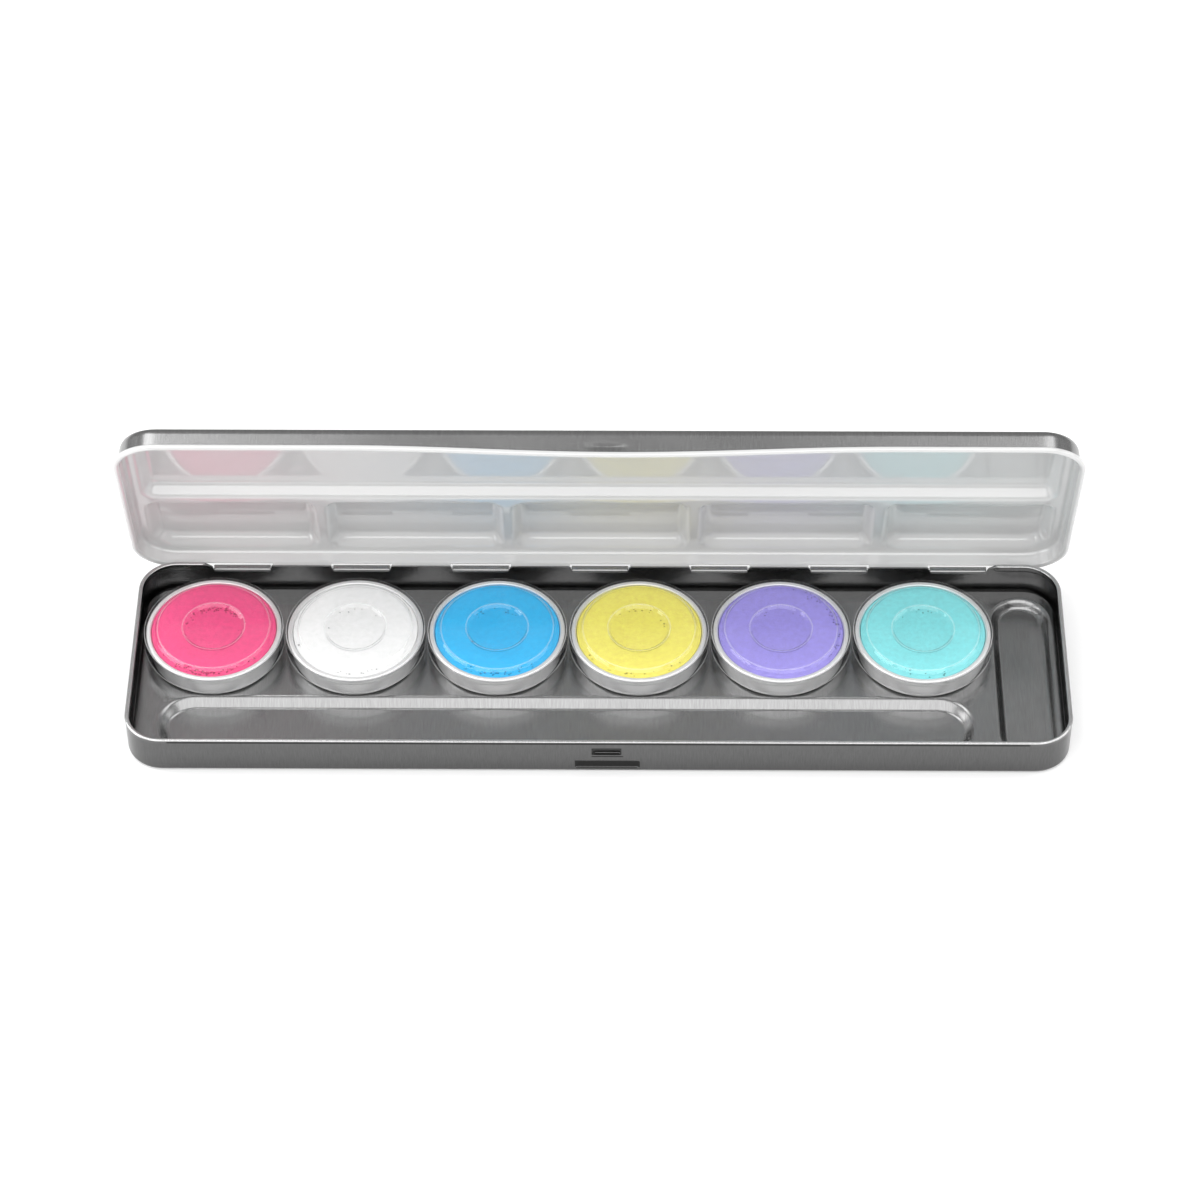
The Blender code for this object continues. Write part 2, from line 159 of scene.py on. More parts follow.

# Clear plastic: strength of its gloss, how far its bright edges reach, and how much flat white is put on them
# as a painted highlight.
SKIN_GAIN = 1.5
CAP_EDGE_REACH = 0.17
CAP_EDGE_HIGHLIGHT = 0.15
CAP_RIM_HIGHLIGHT = 0.38

# Tinplate: tone of each surface, and the tray's surfaces in the order of its materials. One bare tinplate is
# split into lighter and darker copies: painted light and shade for how brightly the floor, the walls, the
# outside and the lid are lit, a painted highlight on the hem and painted shade on the front wall.
TIN_TONES = {"inside": 0.30, "wall": 0.19, "outside": 0.118, "painted_shade": 0.028, "hem": 0.56, "lid": 0.28}
TRAY_SURFACES = ("inside", "wall", "outside", "painted_shade", "hem")

# Spacing of the pressings' points, and the number of the tray's loops that lie on its outside.
FINE = 0.4
COARSE = 1.5
OUTSIDE_LOOPS = 31

# Camera: angles, place in the tray's frame and lens.
CAMERA_PITCH = 47.43
CAMERA_YAW = -0.0114
CAMERA_ROLL = -0.0051
CAMERA_PLACE = (7.0, -589.4, 667.6)
CAMERA_LENS = 121.2


# ---------------------------------------------------------------- placing and meshes

def place(points, shift_y):
    """Tray frame in millimetres to the model's frame in metres."""
    moved = np.array(points, float)
    moved[:, 1] += shift_y
    return moved * MM


def open_lid(points):
    """Shut lid's frame to the tray frame, swung open about the pin."""
    flat = np.array(points, float)
    cosine = math.cos(math.radians(OPEN_ANGLE))
    sine = math.sin(math.radians(OPEN_ANGLE))
    swung = flat.copy()
    swung[:, 1] = PIN_Y + flat[:, 1] * cosine + flat[:, 2] * sine
    swung[:, 2] = PIN_Z - flat[:, 1] * sine + flat[:, 2] * cosine
    return swung


def add_mesh(name, points, faces, materials, body, stands_for=(), indices=None):
    """A smooth-shaded piece that rides on a body. points are in the model's frame."""
    mesh = bpy.data.meshes.new(name)
    mesh.from_pydata(np.asarray(points).tolist(), [], [list(face) for face in faces])
    for finish in materials:
        mesh.materials.append(finish)
    if indices is not None:
        mesh.polygons.foreach_set("material_index", np.asarray(indices, np.int32))
    mesh.shade_smooth()
    mesh.validate()
    piece = bpy.data.objects.new(name, mesh)
    bpy.context.scene.collection.objects.link(piece)
    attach(piece, body)
    if stands_for:
        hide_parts(*stands_for)
    return piece


def spaced(low, high, marks):
    """Positions from low to high, close together inside the marked spans."""
    places = [low]
    while places[-1] < high:
        here = places[-1]
        close = any(start - COARSE < here < end for start, end in marks)
        places.append(here + (FINE if close else COARSE))
    span = np.array(places)
    return low + (span - low) * (high - low) / (span[-1] - low)


def rounded_grid(half_x, half_y, radius, columns, rows, corner_steps=18):
    """Grid of points that fills a rounded rectangle. columns and rows run from -1 to 1."""
    straight = half_x - radius
    turn = np.linspace(0, math.pi / 2, corner_steps + 1)[1:]
    ends = straight + radius * np.sin(turn)
    across = np.concatenate([-ends[::-1], columns * straight, ends])
    over = np.maximum(np.abs(across) - straight, 0.0)
    reach = half_y - radius + np.sqrt(np.maximum(radius ** 2 - over ** 2, 0.0))
    x = np.repeat(across[:, None], len(rows), axis=1)
    y = reach[:, None] * rows[None, :]
    return x, y


def outline_order(shape):
    """Indices of a grid's border, counter-clockwise."""
    ids = np.arange(shape[0] * shape[1]).reshape(shape)
    return np.concatenate([ids[:-1, 0], ids[-1, :-1], ids[:0:-1, -1], ids[0, :0:-1]])


def grid_faces(shape, start, flip):
    """Quads of a grid whose first vertex has index start."""
    ids = np.arange(shape[0] * shape[1]).reshape(shape) + start
    quads = np.stack([ids[:-1, :-1], ids[1:, :-1], ids[1:, 1:], ids[:-1, 1:]], axis=-1)
    quads = quads.reshape(-1, 4)
    return quads[:, ::-1] if flip else quads


def outline_normals(x, y, half_x, half_y, radius):
    """Outward directions at the border of a rounded rectangle."""
    over_x = np.sign(x) * np.maximum(np.abs(x) - (half_x - radius), 0.0)
    over_y = np.sign(y) * np.maximum(np.abs(y) - (half_y - radius), 0.0)
    length = np.maximum(np.hypot(over_x, over_y), 1e-9)
    return over_x / length, over_y / length


def sheet_mesh(first, loops, last):
    """Closed sheet: a grid, loops of points round its border, and the grid on the other side."""
    shape = first[0].shape
    border = outline_order(shape)
    points = [np.stack([part.ravel() for part in first], axis=1)]
    faces = [grid_faces(shape, 0, False)]
    rows = [border]
    start = points[0].shape[0]
    for loop in loops:
        points.append(loop)
        rows.append(np.arange(len(border)) + start)
        start += len(border)
    points.append(np.stack([part.ravel() for part in last], axis=1))
    rows.append(border + start)
    for upper, lower in zip(rows, rows[1:]):
        faces.append(np.stack([upper, lower, np.roll(lower, -1), np.roll(upper, -1)], axis=1))
    faces.append(grid_faces(shape, start, True))
    return np.concatenate(points), faces


def turned(profile, steps, centre):
    """Points and faces of a profile of (radius, z) turned about a vertical axis."""
    angles = np.arange(steps) / steps * 2 * math.pi
    points = []
    rings = []
    for radius, height in profile:
        if radius < 1e-6:
            rings.append(np.full(steps, len(points)))
            points.append((centre[0], centre[1], height))
            continue
        rings.append(np.arange(steps) + len(points))
        for angle in angles:
            x = centre[0] + radius * math.cos(angle)
            y = centre[1] + radius * math.sin(angle)
            points.append((x, y, height))
    faces = []
    for low, high in zip(rings, rings[1:]):
        for a, b in zip(range(steps), list(range(1, steps)) + [0]):
            corners = [int(low[a]), int(low[b]), int(high[b]), int(high[a])]
            kept = list(dict.fromkeys(corners))
            if len(kept) > 2:
                faces.append(kept)
    return points, faces


def smooth_profile(corners, radius, steps=4):
    """Rounds each inner corner of a profile with a small arc-like curve."""
    smooth = [corners[0]]
    for before, here, after in zip(corners, corners[1:], corners[2:]):
        corner = Vector(here)
        back = Vector(before) - corner
        ahead = Vector(after) - corner
        cut = min(radius, back.length * 0.45, ahead.length * 0.45)
        start = corner + back.normalized() * cut
        end = corner + ahead.normalized() * cut
        for step in range(steps + 1):
            t = step / steps
            point = start * (1 - t) ** 2 + corner * 2 * t * (1 - t) + end * t ** 2
            smooth.append((point.x, point.y))
    smooth.append(corners[-1])
    return smooth


# ---------------------------------------------------------------- shapes of the pressings

def lifted(value, soft):
    """0 for negative values and the value itself for positive ones, with a rounded bend."""
    curve = (value + soft) ** 2 / (4 * soft)
    return np.where(value < -soft, 0.0, np.where(value > soft, value, curve))


def soft_ramp(distance, width, soft, soft_end=None):
    """0 below 0, 1 above width, with rounded bends."""
    climb = lifted(distance, soft) - lifted(distance - width, soft_end or soft)
    return np.clip(climb / width, 0.0, 1.0)


def inside_depth(x, y, centre, half, radii):
    """Distance inside a rounded rectangle; radii are for +X+Y, -X+Y, -X-Y and +X-Y."""
    to_x = x - centre[0]
    to_y = y - centre[1]
    right = np.where(to_y > 0, radii[0], radii[3])
    left = np.where(to_y > 0, radii[1], radii[2])
    radius = np.where(to_x > 0, right, left)
    over_x = np.abs(to_x) - half[0] + radius
    over_y = np.abs(to_y) - half[1] + radius
    outer = np.hypot(np.maximum(over_x, 0), np.maximum(over_y, 0))
    return radius - outer - np.minimum(np.maximum(over_x, over_y), 0)


def tray_floor(x, y, grow):
    """Height of the tray's floor: a raised panel with two recesses."""
    inset = PANEL_INSET - grow
    half = (TRAY_X / 2 - inset, TRAY_Y / 2 - inset)
    panel = inside_depth(x, y, (0.0, 0.0), half, [TRAY_CORNER - inset] * 4)
    height = soft_ramp(panel, PANEL_SLOPE, 0.12)
    for recess in (BRUSH_RECESS, SIDE_RECESS):
        size = (recess["half"][0] - grow, recess["half"][1] - grow)
        depth = inside_depth(x, y, recess["centre"], size, [min(size) - 0.01] * 4)
        height = height * (1.0 - soft_ramp(depth, recess["slope"], 0.45, 0.15))
    return (PANEL_TOP - SHEET) * height


def knuckle_centres():
    """X of the tray's knuckles."""
    return [(index - (TRAY_KNUCKLES - 1) / 2) * KNUCKLE_PITCH for index in range(TRAY_KNUCKLES)]


def hinge_wall_top(x):
    """Height of the tray's back wall along the hinge: low where a tongue is rolled out of it."""
    away = np.min([np.abs(x - centre) for centre in knuckle_centres()], axis=0)
    outside = np.clip((away - TRAY_KNUCKLE_WIDTH / 2 - 0.05) / 0.3, 0.0, 1.0)
    return TONGUE_WALL_TOP + (HINGE_WALL_TOP - TONGUE_WALL_TOP) * outside


def front_dent(x, z):
    """Inward depth of the latch pocket and the fingernail notch in the tray's front wall."""
    off = np.abs(x - LATCH_X)
    pocket_side = soft_ramp(POCKET["half"] - off, 0.5, 0.2)
    pocket_slope = np.clip((POCKET["high"] - z) / 2.0, 0.0, 1.0)
    pocket_ledge = soft_ramp(z - POCKET["low"], 0.30, 0.1)
    notch_side = soft_ramp(NOTCH["half"] - off, 0.7, 0.3)
    notch_top = soft_ramp(NOTCH["high"] - z, 0.4, 0.15)
    notch_ledge = soft_ramp(z - NOTCH["low"], 0.40, 0.12)
    return DENT_DEPTH * (pocket_side * pocket_slope * pocket_ledge + notch_side * notch_top * notch_ledge)


def is_painted_shade(middles):
    """Where shade is painted on the front wall's steel as dark tinplate: in the dents, on the line between
    them and under the hem.
    """
    x, y, z = middles.T
    hem_shade_half = TRAY_X / 2 - TRAY_CORNER - HEM_SHADE_END_GAP
    dark = (np.abs(x) < hem_shade_half) & (z > HEM_SHADE_LINE[0]) & (z < HEM_SHADE_LINE[1])
    for half, low, high in PAINTED_SHADE_BANDS:
        dark = dark | ((np.abs(x - LATCH_X) < half) & (z > low) & (z < high))
    return dark & (y < FRONT_WALL_REACH - TRAY_Y / 2)


def well_list():
    """Each well of the lid as centre, half size and corner radii."""
    long_size = (WELL_HALF_X, (LONG_WELL[1] - LONG_WELL[0]) / 2)
    long_radii = [WELL_CORNER, WELL_CORNER, WELL_OUTER_CORNER, WELL_OUTER_CORNER]
    shapes = [((0.0, -sum(LONG_WELL) / 2), long_size, long_radii)]
    half = DIVIDER_CREST / 2
    edges = [-WELL_HALF_X - half, *DIVIDERS, WELL_HALF_X + half]
    for index, (left, right) in enumerate(zip(edges, edges[1:])):
        centre = ((left + right) / 2, -sum(SHORT_WELLS) / 2)
        size = ((right - left) / 2 - half, (SHORT_WELLS[1] - SHORT_WELLS[0]) / 2)
        at_right = WELL_OUTER_CORNER if index == len(DIVIDERS) else WELL_CORNER
        at_left = WELL_OUTER_CORNER if index == 0 else WELL_CORNER
        shapes.append((centre, size, [at_right, at_left, WELL_CORNER, WELL_CORNER]))
    return shapes


def lid_wells(x, y, grow):
    """Height of the wells above the lid's flat level."""
    height = np.zeros_like(x)
    for centre, size, radii in well_list():
        half = (size[0] + grow, size[1] + grow)
        depth = inside_depth(x, y, centre, half, [radius + grow for radius in radii])
        height = np.maximum(height, soft_ramp(depth, WELL_SLOPE, 0.5))
    return WELL_DEPTH * height


def lid_rim(x, y):
    """Height of the lid's rolled rim."""
    share = np.clip(-y / (TRAY_Y + 2 * LID_GAP), 0.0, 1.0)
    height = LID_RIM_BACK + (LID_RIM_FRONT - LID_RIM_BACK) * share
    along = np.clip((x - LIP_DIP_X) / LIP_DIP_HALF, -1.0, 1.0)
    nearness = np.clip((share - 0.9) / 0.1, 0.0, 1.0)
    return height - nearness * LIP_DIP * np.cos(math.pi / 2 * along) ** 2


def latch_dimple(x, z):
    """Inward depth of the lid's latch dimple."""
    middle = LID_RIM_FRONT - LIP_DIP + DIMPLE["above_lip"]
    across = soft_ramp(DIMPLE["half_x"] - np.abs(x - LATCH_X), 0.6, 0.3)
    return DIMPLE["depth"] * across * soft_ramp(DIMPLE["half_z"] - np.abs(z - middle), 0.6, 0.25)


# ---------------------------------------------------------------- tray and lid

def tray_loops(x, y, normal_x, normal_y):
    """Loops up the tray's inside wall, over the hem and down the outside.

    Each row is an inset and a height, and the same two where the hem isn't rolled, along the hinge.
    """
    top = TRAY_HEIGHT
    rows = [(0.50, 0.40, 0.50, 0.40), (0.40, 0.55, 0.40, 0.55)]
    for t in np.linspace(0.0, 1.0, 9):
        rows.append((SHEET, 1.0 + 6.7 * t, SHEET, 1.0 + 6.1 * t))
    hem = HEM_WIDTH
    rows += [
        (0.40, 7.86, SHEET, 7.14), (hem - 0.12, HEM_BOTTOM, SHEET, 7.16),
        (hem, HEM_BOTTOM + 0.1, SHEET, 7.18), (hem, 8.5, SHEET, 7.20), (hem, top - 0.34, 0.34, 7.23),
    ]
    for t in np.linspace(0.0, 1.0, 9):
        turn = math.pi * t
        inset = hem / 2 + hem / 2 * math.cos(turn)
        height = top - 0.30 + 0.30 * math.sin(turn)
        rows.append((inset, height, SHEET / 2 * (1 + math.cos(turn)), 7.23 + 0.07 * math.sin(turn)))
    for t in np.linspace(0.0, 1.0, 29)[1:]:
        height = 9.2 - 8.5 * t
        under_hem = WALL_STEP * min(max((9.08 - height) / 0.3, 0.0), 1.0)
        rows.append((under_hem, height, under_hem, 7.23 - 6.53 * t))
    rows += [(0.14, 0.45, 0.14, 0.45), (0.26, 0.22, 0.26, 0.22), (0.43, 0.07, 0.43, 0.07)]
    stretch = (hinge_wall_top(x) - 1.0) / (7.3 - 1.0)
    rolled = np.clip((np.abs(x) - HINGE_HALF + 0.4) / 1.3, 0.0, 1.0)
    rolled = np.where(y < 0, 1.0, rolled)
    front = np.clip(-normal_y * 4.0 - 3.0, 0.0, 1.0)
    loops = []
    for inset, height, plain_inset, plain_height in rows:
        inward = plain_inset + (inset - plain_inset) * rolled
        plain_z = 1.0 + (plain_height - 1.0) * stretch if plain_height > 1.0 else plain_height
        z = plain_z + (height - plain_z) * rolled
        inward = inward + front * front_dent(x, z)
        loops.append(np.stack([x - normal_x * inward, y - normal_y * inward, z], axis=1))
    return loops


def build_tray(finishes, shift_y):
    """Pressed tray with hem, floor panel, recesses and latch dents."""
    half = (TRAY_X / 2 - FLOOR_EDGE, TRAY_Y / 2 - FLOOR_EDGE)
    radius = TRAY_CORNER - FLOOR_EDGE
    straight = half[0] - radius
    marks_x = [(-straight, -86), (73, 84), (86.5, straight)]
    for centre in knuckle_centres():
        for side in (-1, 1):
            edge = centre + side * (TRAY_KNUCKLE_WIDTH / 2 + 0.2)
            marks_x.append((edge - 0.3, edge + 0.3))
    marks_x.append((LATCH_X - 7.6, LATCH_X + 7.6))
    marks_y = [(-half[1], -6.2), (16.0, half[1])]
    columns = spaced(-straight, straight, marks_x) / straight
    rows = spaced(-half[1], half[1], marks_y) / half[1]
    x, y = rounded_grid(*half, radius, columns, rows)
    border = outline_order(x.shape)
    edge_x = x.ravel()[border]
    edge_y = y.ravel()[border]
    normal_x, normal_y = outline_normals(edge_x, edge_y, *half, radius)
    outer_x = edge_x + normal_x * FLOOR_EDGE
    outer_y = edge_y + normal_y * FLOOR_EDGE
    floor = (x, y, SHEET + tray_floor(x, y, 0.0))
    under = (x, y, tray_floor(x, y, -0.3))
    loops = tray_loops(outer_x, outer_y, normal_x, normal_y)
    points, faces = sheet_mesh(floor, loops, under)
    outside_from = len(loops) - OUTSIDE_LOOPS
    inside_tin, wall_tin, outside_tin, painted_shade_tin, hem_highlight_tin = range(len(TRAY_SURFACES))
    indices = [np.full(len(faces[0]), inside_tin)]
    for number, group in enumerate(faces[1:], 1):
        outside = number > outside_from
        middles = points[group].mean(axis=1)
        # Painted highlight: faces along the top of the hem take the lighter hem tinplate.
        on_hem = middles[:, 2] > HEM_SHINE_FROM
        plain = np.where(on_hem, hem_highlight_tin, outside_tin if outside else wall_tin)
        # Painted shade: dark tinplate on the front wall's outside, in the dents, on the line between them and
        # under the hem.
        indices.append(np.where(is_painted_shade(middles) & outside, painted_shade_tin, plain))
    return add_mesh("tray_pressing", place(points, shift_y), np.concatenate(faces), finishes, "tray",
                    ["tray_base"], np.concatenate(indices))


def lid_loops(x, y, normal_x, normal_y):
    """Loops down the lid's outside wall, round the bead and up the inside, and where the enamel starts."""
    rim = lid_rim(x, y)
    turned_out = np.clip((np.abs(x) - (HINGE_HALF + 4.0)) / 3.0, 0.0, 1.0)
    turned_out = np.where(y < -6.0, 1.0, turned_out)
    edge = rim + HINGE_SIDE_RAISE * (1.0 - turned_out)
    front = np.clip(-normal_y * 4.0 - 3.0, 0.0, 1.0)
    top = LID_FLAT + SHEET
    rows = []
    for outward, height in ((-0.82, top - 0.07), (-0.60, top - 0.22), (-0.42, top - 0.44),
                            (-0.28, top - 0.75), (-0.18, top - 1.10), (-0.12, top - 1.45)):
        rows.append((np.full_like(x, outward), np.full_like(x, height)))
    wall_top = top - 1.45
    for t in np.linspace(0.0, 1.0, 11)[1:]:
        rows.append((np.full_like(x, -0.12 * (1 - t)), wall_top + (edge + 0.80 - wall_top) * t))
    enamel_from = len(rows)
    for degrees in range(125, -91, -18):
        angle = math.radians(degrees)
        rolled = BEAD_OUT + BEAD_RADIUS * math.cos(angle)
        plain = -SHEET / 2 + SHEET / 2 * max(-1.0, min(1.0, 3 * math.cos(angle)))
        outward = plain + (rolled - plain) * turned_out
        rows.append((outward, edge + BEAD_RADIUS * math.sin(angle)))
    for degrees in range(-105, -181, -15):
        angle = math.radians(degrees)
        rolled = BEAD_OUT + (BEAD_OUT + SHEET) * math.cos(angle)
        outward = -SHEET + (rolled + SHEET) * turned_out
        rows.append((outward, edge + BEAD_RADIUS * math.sin(angle)))
    inner_top = LID_FLAT - 1.2
    for t in np.linspace(0.0, 1.0, 11)[1:]:
        rows.append((np.full_like(x, -SHEET - 0.12 * t), edge + (inner_top - edge) * t))
    for outward, height in ((-0.52, -0.85), (-0.62, -0.55), (-0.78, -0.30), (-1.0, -0.13), (-1.3, -0.03)):
        rows.append((np.full_like(x, outward), np.full_like(x, LID_FLAT + height)))
    loops = []
    for outward, z in rows:
        inward = front * latch_dimple(x, z)
        reach = outward - inward
        loops.append(np.stack([x + normal_x * reach, y + normal_y * reach, z], axis=1))
    return loops, enamel_from


def build_lid(tin, enamel, shift_y):
    """Pressed lid: bare outside, enamelled inside, with a rolled rim."""
    wall = LID_GAP + SHEET
    half = (TRAY_X / 2 + wall, TRAY_Y / 2 + wall)
    radius = TRAY_CORNER + wall
    outer = (half[0] - LID_BEND, half[1] - LID_BEND, radius - LID_BEND)
    inner = (half[0] - LID_INNER_BEND, half[1] - LID_INNER_BEND, radius - LID_INNER_BEND)
    straight = outer[0] - outer[2]
    marks_x = [(divider - 3.2, divider + 3.2) for divider in DIVIDERS]
    marks_e = [(1.5, 4.3), (19.8, 26.4), (47.0, 49.7)]
    marks_y = [(PIN_Y - high, PIN_Y - low) for low, high in reversed(marks_e)]
    columns = spaced(-straight, straight, marks_x) / straight
    rows = spaced(-outer[1], outer[1], marks_y) / outer[1]
    x, y = rounded_grid(*outer, columns, rows)
    y = y - PIN_Y
    in_x, in_y = rounded_grid(*inner, columns, rows)
    in_y = in_y - PIN_Y
    border = outline_order(x.shape)
    edge_x = x.ravel()[border]
    edge_y = y.ravel()[border] + PIN_Y
    normal_x, normal_y = outline_normals(edge_x, edge_y, *outer)
    wall_x = edge_x + normal_x * LID_BEND
    wall_y = edge_y + normal_y * LID_BEND - PIN_Y
    loops, enamel_from = lid_loops(wall_x, wall_y, normal_x, normal_y)
    outside = (x, y, LID_FLAT + SHEET + lid_wells(x, y, 0.3))
    inside = (in_x, in_y, LID_FLAT + lid_wells(in_x, in_y, 0.0))
    points, faces = sheet_mesh(outside, loops, inside)
    indices = []
    for number, group in enumerate(faces):
        bare = number <= enamel_from
        indices.append(np.full(len(group), 0 if bare else 1))
    return add_mesh("lid_pressing", place(open_lid(points), shift_y), np.concatenate(faces), [tin, enamel],
                    "lid", ["lid_shell"], np.concatenate(indices))


# ---------------------------------------------------------------- hinge

def strip_prism(path, thickness, low_x, high_x):
    """Points and faces of a sheet strip that follows a path of (y, z) and runs along X."""
    middle = np.array(path, float)
    along = np.gradient(middle, axis=0)
    along /= np.linalg.norm(along, axis=1)[:, None]
    across = np.stack([-along[:, 1], along[:, 0]], axis=1) * thickness / 2
    half = len(middle)
    count = 2 * half
    stations = [low_x, low_x + 0.06, high_x - 0.06, high_x]
    shrink = [0.72, 1.0, 1.0, 0.72]
    points = []
    for station, share in zip(stations, shrink):
        thin = np.concatenate([middle + across * share, (middle - across * share)[::-1]])
        points += [(station, y, z) for y, z in thin]
    faces = []
    for level in range(len(stations) - 1):
        for index in range(count):
            after = (index + 1) % count
            base = level * count
            faces.append([base + index, base + count + index, base + count + after, base + after])
    last = (len(stations) - 1) * count
    for index in range(half - 1):
        mate = count - 1 - index
        faces.append([index, index + 1, mate - 1, mate])
        faces.append([last + index + 1, last + index, last + mate, last + mate - 1])
    return points, faces


def rolled_path(start, from_degrees, to_degrees, centre):
    """Path of a tongue: straight points, then round the wire."""
    path = list(start)
    for degrees in np.linspace(from_degrees, to_degrees, 30):
        angle = math.radians(degrees)
        path.append((centre[0] + ROLL_RADIUS * math.cos(angle), centre[1] + ROLL_RADIUS * math.sin(angle)))
    return path


def join_parts(parts):
    """Several (points, faces) as one."""
    points = []
    faces = []
    for part_points, part_faces in parts:
        start = len(points)
        points += list(part_points)
        faces += [[index + start for index in face] for face in part_faces]
    return points, faces


def build_hinge(tin, enamel, shift_y):
    """Rolled tongues of the tray and of the lid, round the wire."""
    centres = knuckle_centres()
    tray_start = [(26.22, 6.1), (26.24, 6.5), (26.32, 6.80), (26.50, 7.02)]
    tray_path = rolled_path(tray_start, 122, -168, (PIN_Y, PIN_Z))
    half = TRAY_KNUCKLE_WIDTH / 2
    parts = [strip_prism(tray_path, ROLL_SHEET, centre - half, centre + half) for centre in centres]
    points, faces = join_parts(parts)
    tongues = add_mesh("tray_knuckles", place(points, shift_y), faces, [tin], "tray")

    lid_start = [(-0.33, 1.9), (-0.34, 1.45), (-0.40, 1.05), (-0.50, 0.66), (-0.57, 0.38)]
    lid_path = rolled_path(lid_start, 168, 168 + 285, (0.0, 0.0))
    parts = []
    for left, right in zip(centres, centres[1:]):
        low = left + half + KNUCKLE_GAP
        high = right - half - KNUCKLE_GAP
        points, faces = strip_prism(lid_path, ROLL_SHEET, low, high)
        parts.append((open_lid(points).tolist(), faces))
    points, faces = join_parts(parts)
    loops = add_mesh("lid_knuckles", place(points, shift_y), faces, [enamel], "lid")
    for piece in (tongues, loops):
        piece.data.set_sharp_from_angle(angle=math.radians(40))


# ---------------------------------------------------------------- pans

def cup_profile():
    """Half section of the pressed aluminium cup, from the middle of its base round to the inside."""
    low = PAN_BOTTOM
    return [
        (0.0, low), (13.4, low), (14.15, low + 0.35), (14.25, low + 1.0), (14.36, PAN_RIM - 2.0),
        (14.56, PAN_RIM - 1.75), (14.5, PAN_RIM - 0.75),
        (14.85, PAN_RIM - 0.55), (14.93, PAN_RIM - 0.2), (14.7, PAN_RIM), (14.05, PAN_RIM + 0.02),
        (13.85, PAN_RIM - 0.15), (13.8, PAN_RIM - 0.6), (13.65, low + 0.9), (13.3, low + 0.35),
        (0.0, low + 0.35),
    ]


def cap_profile():
    """Half section of the clear cap: underside from the middle out, then back over the top."""
    low = PAN_RIM - CAP_SKIRT
    top = PAN_RIM + 0.12
    high = top + CAP_RAISE
    wall = 0.33
    rim = CAP_RADIUS
    return [
        (0.0, top), (6.4, top), (7.1, high), (12.15, high), (12.65, top), (14.8, top),
        (rim - wall, top - 0.3), (rim - wall, low + 0.25), (rim - 0.12, low), (rim + 0.08, low + 0.05),
        (rim + 0.08, low + 0.35), (rim, low + 0.5), (rim, top - 0.05), (15.1, top + wall),
        (12.95, top + wall), (12.4, high + wall), (6.85, high + wall), (6.15, top + wall), (0.0, top + wall),
    ]


def cap_edges(points, faces, centre):
    """Material of each face: 1 along the edges of the plateau, 2 along the rim and 0 elsewhere; 1 and 2 carry
    a painted highlight.
    """
    top = PAN_RIM + 0.45
    high = top + CAP_RAISE
    low = PAN_RIM - CAP_SKIRT
    edges = ((1, 6.85, high), (1, 12.4, high), (2, 15.28, top - 0.12), (2, CAP_RADIUS, low + 0.12))
    spots = np.asarray(points, float)
    middles = np.array([spots[list(face)].mean(axis=0) for face in faces])
    radii = np.hypot(middles[:, 0] - centre[0], middles[:, 1] - centre[1])
    indices = np.zeros(len(faces), int)
    for index, radius, height in edges:
        indices[np.hypot(radii - radius, middles[:, 2] - height) < CAP_EDGE_REACH] = index
    return indices


def paint_mesh(centre, colour, generator):
    """Cake of colour with a gently uneven top and a slightly crumbled edge."""
    low = PAN_BOTTOM + 0.45
    radii = np.concatenate([np.linspace(0.0, 12.4, 22), np.linspace(12.6, 13.7, 9)])
    angles = np.arange(TURN_STEPS) / TURN_STEPS * 2 * math.pi
    waves = []
    for _ in range(7):
        waves.append((generator.uniform(0, 6.28), generator.integers(2, 9), generator.uniform(0.4, 1.0)))
    roughness = generator.normal(0.0, 1.0, (len(radii), TURN_STEPS))
    roughness = (roughness + np.roll(roughness, 1, axis=1) + np.roll(roughness, -1, axis=1)) / 3
    worn = 1.6 if colour in ("pink", "violet") else 1.0
    profile = [(0.0, low), (13.0, low), (13.35, low + 0.8)]
    tops = []
    for row, radius in enumerate(radii[::-1]):
        share = radius / radii[-1]
        height = PAN_RIM - 0.20 - 0.10 * share ** 8
        tops.append((radius, height, row))
    points, faces = turned(profile + [(radius, height) for radius, height, _ in tops], TURN_STEPS, centre)
    start = 1 + 2 * TURN_STEPS
    for radius, height, row in tops:
        if radius < 1e-6:
            continue
        edge = np.clip((radius - 12.2) / 1.4, 0.0, 1.0)
        swell = sum(size * np.sin(angles * count + phase) for phase, count, size in waves) / 7
        lift = 0.035 * swell * radius / 14 + roughness[row] * (0.008 + 0.055 * edge * worn)
        for index in range(TURN_STEPS):
            x, y, z = points[start + index]
            points[start + index] = (x, y, z + min(lift[index], 0.16))
        start += TURN_STEPS
    return points, faces


def crumb(centre, size, generator):
    """Small broken crumb as a lumpy octahedron."""
    corners = [(1, 0, 0), (-1, 0, 0), (0, 1, 0), (0, -1, 0), (0, 0, 1), (0, 0, -1)]
    points = []
    for corner in corners:
        stretch = size * generator.uniform(0.7, 1.2)
        points.append(tuple(centre[axis] + corner[axis] * stretch for axis in range(3)))
    faces = [[0, 2, 4], [2, 1, 4], [1, 3, 4], [3, 0, 4], [2, 0, 5], [1, 2, 5], [3, 1, 5], [0, 3, 5]]
    return points, faces


def crumbs(centre, colour, generator):
    """Loose grains near the rim, in front or on violet at the right, and behind the middle."""
    rim_count, middle_count = CRUMBS[colour]
    parts = []
    for number in range(rim_count + middle_count):
        near_rim = number < rim_count
        if near_rim:
            radius = generator.normal(12.7, 0.45)
            angle = generator.normal(0.4, 0.5) if colour == "violet" else generator.normal(-math.pi / 2, 0.42)
        else:
            radius = generator.normal(6.2, 0.35)
            angle = generator.normal(math.pi / 2, 0.75)
        radius = min(radius, 13.3)
        size = generator.uniform(0.14, 0.28)
        height = PAN_RIM - 0.20
        x = centre[0] + radius * math.cos(angle)
        y = centre[1] + radius * math.sin(angle)
        parts.append(crumb((x, y, height), size, generator))
    return parts


